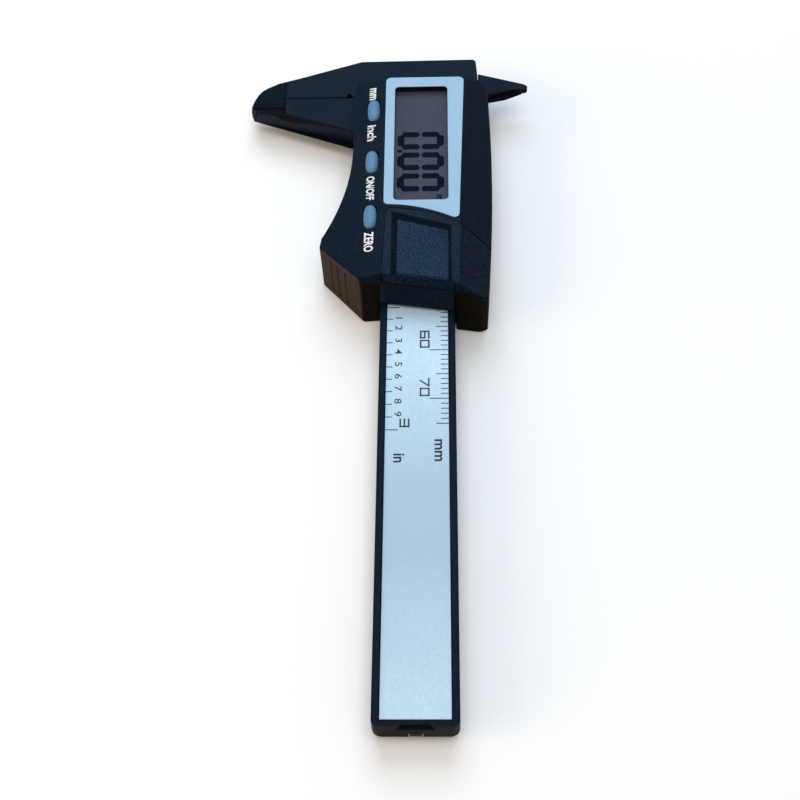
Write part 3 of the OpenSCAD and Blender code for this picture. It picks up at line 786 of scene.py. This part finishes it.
def legends():
    """The words beside the buttons, lying on the sloped panel."""
    tilt = Matrix.Rotation(PANEL_SLOPE, 4, "X")
    parts = []
    for text, start, length, height in LEGENDS:
        mesh = text_mesh(text, height, 2 * INK, LEGEND_BOLD)
        stretch = length * MM / max(v.co.x for v in mesh.vertices)
        low = LEGEND_Y - height / 2
        z = CASE_HIGH - math.tan(PANEL_SLOPE) * (PANEL_Y - low) - INK
        place = Matrix.Translation(at(start, low, z))
        parts.append((mesh, place @ tilt @ Matrix.Diagonal((stretch, 1.0, 1.0, 1.0))))
    add_piece("button_legends", joined("button_legends", parts), "slider", "case_plastic", WHITE_INK)


# ---------------------------------------------------------------- buttons


def oval(middle, length, width, z, count=56, square=2.7):
    """Ring of an oval a little fuller than an ellipse."""
    def share(value):
        return math.copysign(abs(value) ** (2 / square), value)

    turns = [2 * math.pi * (i + 0.5) / count for i in range(count)]
    return [(middle[0] + length / 2 * share(math.cos(turn)),
             middle[1] + width / 2 * share(math.sin(turn)), z) for turn in turns]


STEM, FLANGE, FLANGE_DROP = 1.4, 0.7, 2.05  # the stem's width, the flange's height, crown to flange
KEY_INSET, EDGE_R, EDGE_STRETCH, EDGE_STEPS = 0.5, 0.7, 1.25, 9


def button(node, name, body):
    """Domed key with its flange and stem, in one closed mesh."""
    low, high = (datum(p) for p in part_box(node))
    middle = ((low.x + high.x) / 2, (low.y + high.y) / 2)
    flange_l, flange_w = high.x - low.x, high.y - low.y
    length, width = flange_l - KEY_INSET, flange_w - KEY_INSET
    flange_high = high.z - FLANGE_DROP
    flange_low = flange_high - FLANGE
    rings = [oval(middle, STEM, STEM, low.z), oval(middle, STEM, STEM, flange_low),
             oval(middle, flange_l, flange_w, flange_low),
             oval(middle, flange_l, flange_w, flange_high),
             oval(middle, length, width, flange_high)]
    for i in range(EDGE_STEPS + 1):
        turn = math.pi / 2 * i / EDGE_STEPS
        inset = EDGE_R * EDGE_STRETCH * (1 - math.cos(turn))
        z = high.z - EDGE_R * (1 - math.sin(turn))
        rings.append(oval(middle, length - 2 * inset, width - 2 * inset, z))
    piece = add_piece(name, loft(rings), body, "button_plastic")
    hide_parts(node)


# ---------------------------------------------------------------- battery cover

POCKET_CORNERS = [(34.0, -4.6), (37.4, 6.1), (50.13, 6.1), (48.46, -4.6)]
PAD_LOW, PAD_HIGH = CASE_HIGH - 0.42, CASE_HIGH + 0.38
BAND_FAR, BAND_LEFT, BAND_RIGHT = 0.12, 0.12, 0.075
END_SLOPE = 0.022
GRAIN_MM, GRAIN_DEPTH = 0.24, 0.045
PAD_ALONG, PAD_OVER = 150, 110  # cells of the pad's mesh each way
GRAINED_SHARE = 0.9  # how far up from the band the grained finish starts
PAD_SKIRT = 0.05
COVER_SEEN, COVER_NEAR, COVER_ENDS = 9.5, 7.0, (34.0, 48.5)
COVER_RIM, COVER_SINK = 0.2, 0.15  # the CAD ramp stands over the case's top, and sinks under the pad


def across(corners, s, t):
    """Point at s along and t across a four-cornered patch."""
    a, b, c, d = (Vector(p) for p in corners)
    return (a.lerp(d, s)).lerp(b.lerp(c, s), t)


def ease(value):
    """0 to 1 with a soft start and stop."""
    value = max(0.0, min(1.0, value))
    return value * value * (3 - 2 * value)


def cover():
    """Cell cover: its seen edges are rounded, and its ramp is sunk a little under the pad."""
    def outline(p):
        return p.z > COVER_SEEN and (p.y > COVER_NEAR or not COVER_ENDS[0] <= p.x <= COVER_ENDS[1])

    mesh = rounded_copy("battery_cover", keep=outline, width=0.16, segments=2, shortest=0.4)
    for v in mesh.vertices:
        if v.co.z > (CASE_HIGH + COVER_RIM) * MM:
            v.co.z -= COVER_SINK * MM
    piece = add_piece("cell_cover", mesh, "cell_door", "cover_plastic")
    paint_walls(piece, WALLS["cover_plastic"])
    harden(piece)
    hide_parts("battery_cover")


def thumb_pad():
    """Grained thumb pad: it dips at its far end and rises towards the trailing end."""
    bm = bmesh.new()
    rows, inner, grained = [], [], []
    for i in range(PAD_ALONG + 1):
        s = i / PAD_ALONG
        row, flags = [], []
        for j in range(PAD_OVER + 1):
            t = j / PAD_OVER
            p = across(POCKET_CORNERS, s, t)
            share = ease(min(s / BAND_FAR, t / BAND_LEFT, (1 - t) / BAND_RIGHT))
            grain = noise.noise(Vector((p.x, p.y, 0.0)) / GRAIN_MM) * GRAIN_DEPTH
            height = PAD_LOW + (PAD_HIGH - PAD_LOW) * s + grain
            fall = min(1.0, (1 - s) / END_SLOPE)
            row.append(bm.verts.new(at(p.x, p.y, CASE_HIGH + (height - CASE_HIGH) * share * fall)))
            flags.append(share > GRAINED_SHARE)
        rows.append(row)
        inner.append(flags)
    for i in range(PAD_ALONG):
        for j in range(PAD_OVER):
            bm.faces.new((rows[i][j], rows[i + 1][j], rows[i + 1][j + 1], rows[i][j + 1]))
            grained.append(inner[i][j])
    rim = [e for e in bm.edges if e.is_boundary]
    walls = bmesh.ops.extrude_edge_only(bm, edges=rim)["geom"]
    for v in walls:
        if isinstance(v, bmesh.types.BMVert):
            v.co.z = (PAD_LOW - PAD_SKIRT) * MM
    bmesh.ops.contextual_create(bm, geom=[e for e in bm.edges if e.is_boundary])
    mesh = bpy.data.meshes.new("thumb_pad")
    bm.to_mesh(mesh)
    bm.free()
    smooth_mesh(mesh, 60)
    # the band round the grained pad takes the darker finish, painted shade of its slopes
    piece = add_piece("thumb_pad", mesh, "cell_door", "cover_plastic", PAD_BAND)
    piece.data.materials.append(PAD)
    for polygon, has_grain in zip(piece.data.polygons, grained):
        polygon.material_index = int(has_grain)
    paint_walls(piece, BAND_WALLS)


def pieces_as_they_are():
    """Internal and small CAD nodes keep their CAD meshes and get their slot's finish."""
    for subpart in frame["record"]["subparts"]:
        node = frame["nodes"][subpart["node"]]
        if not node.hide_render:
            paint(node, MATERIALS[subpart["material_slot"]])


# ---------------------------------------------------------------- stage

CAMERA_AT = (0.135722, 0.010757, 0.197740)
CAMERA_TURN = (32.922, 1.884, 90.647)
LENS = 60.75
FLOOR_SIZE, FLOOR_Z = 3.0, -0.0002
WORLD_STRENGTH = 0.36


def stage():
    """Plain pale floor, a hair below the caliper."""
    mesh = bpy.data.meshes.new("floor")
    bm = bmesh.new()
    bmesh.ops.create_grid(bm, x_segments=1, y_segments=1, size=FLOOR_SIZE)
    bm.to_mesh(mesh)
    bm.free()
    floor = bpy.data.objects.new("floor", mesh)
    floor.location.z = FLOOR_Z
    bpy.context.scene.collection.objects.link(floor)
    n = Nodes("floor")
    n.into("Base Color", (0.93, 0.93, 0.93))
    n.into("Roughness", 0.9)
    n.into("Specular IOR Level", 0.1)
    paint(floor, n.material)


def soft_box(name, azimuth, elevation, distance, size, power, colour):
    """Square area light aimed at the caliper's middle."""
    light = bpy.data.lights.new(name, "AREA")
    light.shape = "SQUARE"
    light.size = size
    light.energy = power
    light.color = colour
    obj = bpy.data.objects.new(name, light)
    a, e = math.radians(azimuth), math.radians(elevation)
    direction = Vector((math.cos(e) * math.cos(a), math.cos(e) * math.sin(a), math.sin(e)))
    obj.location = direction * distance
    obj.rotation_euler = direction.to_track_quat("Z", "Y").to_euler()
    bpy.context.scene.collection.objects.link(obj)


def lights():
    """A cool light from behind, a neutral one above and a warm one low at the front."""
    soft_box("back_box", azimuth=180, elevation=52, distance=0.7, size=0.5, power=2.6,
             colour=(0.66, 0.84, 1.0))
    soft_box("top_box", azimuth=30, elevation=80, distance=0.8, size=0.5, power=2.4,
             colour=(1.0, 0.98, 0.95))
    soft_box("front_box", azimuth=-70, elevation=22, distance=0.8, size=0.5, power=3.0,
             colour=(1.0, 0.76, 0.54))
    world = bpy.data.worlds.new("studio")
    world.use_nodes = True
    background = world.node_tree.nodes["Background"]
    background.inputs["Color"].default_value = (1.0, 1.0, 1.0, 1.0)
    background.inputs["Strength"].default_value = WORLD_STRENGTH
    bpy.context.scene.world = world


def camera():
    """Camera at the photograph's viewing angle."""
    data = bpy.data.cameras.new("camera")
    data.lens = LENS
    data.clip_start = 0.01
    obj = bpy.data.objects.new("camera", data)
    obj.location = CAMERA_AT
    obj.rotation_euler = Euler([math.radians(a) for a in CAMERA_TURN])
    bpy.context.scene.collection.objects.link(obj)
    bpy.context.scene.camera = obj
    bpy.context.scene.view_settings.view_transform = "Standard"


beam()
label()
scale_marks()
case()
frame_and_back()
bezel()
lcd_digits()
legends()
button("button_unit", "unit_key_cap", "unit_key")
button("button_power", "power_key_cap", "power_key")
button("button_zero", "zero_key_cap", "zero_key")
cover()
thumb_pad()
pieces_as_they_are()
stage()
lights()
camera()
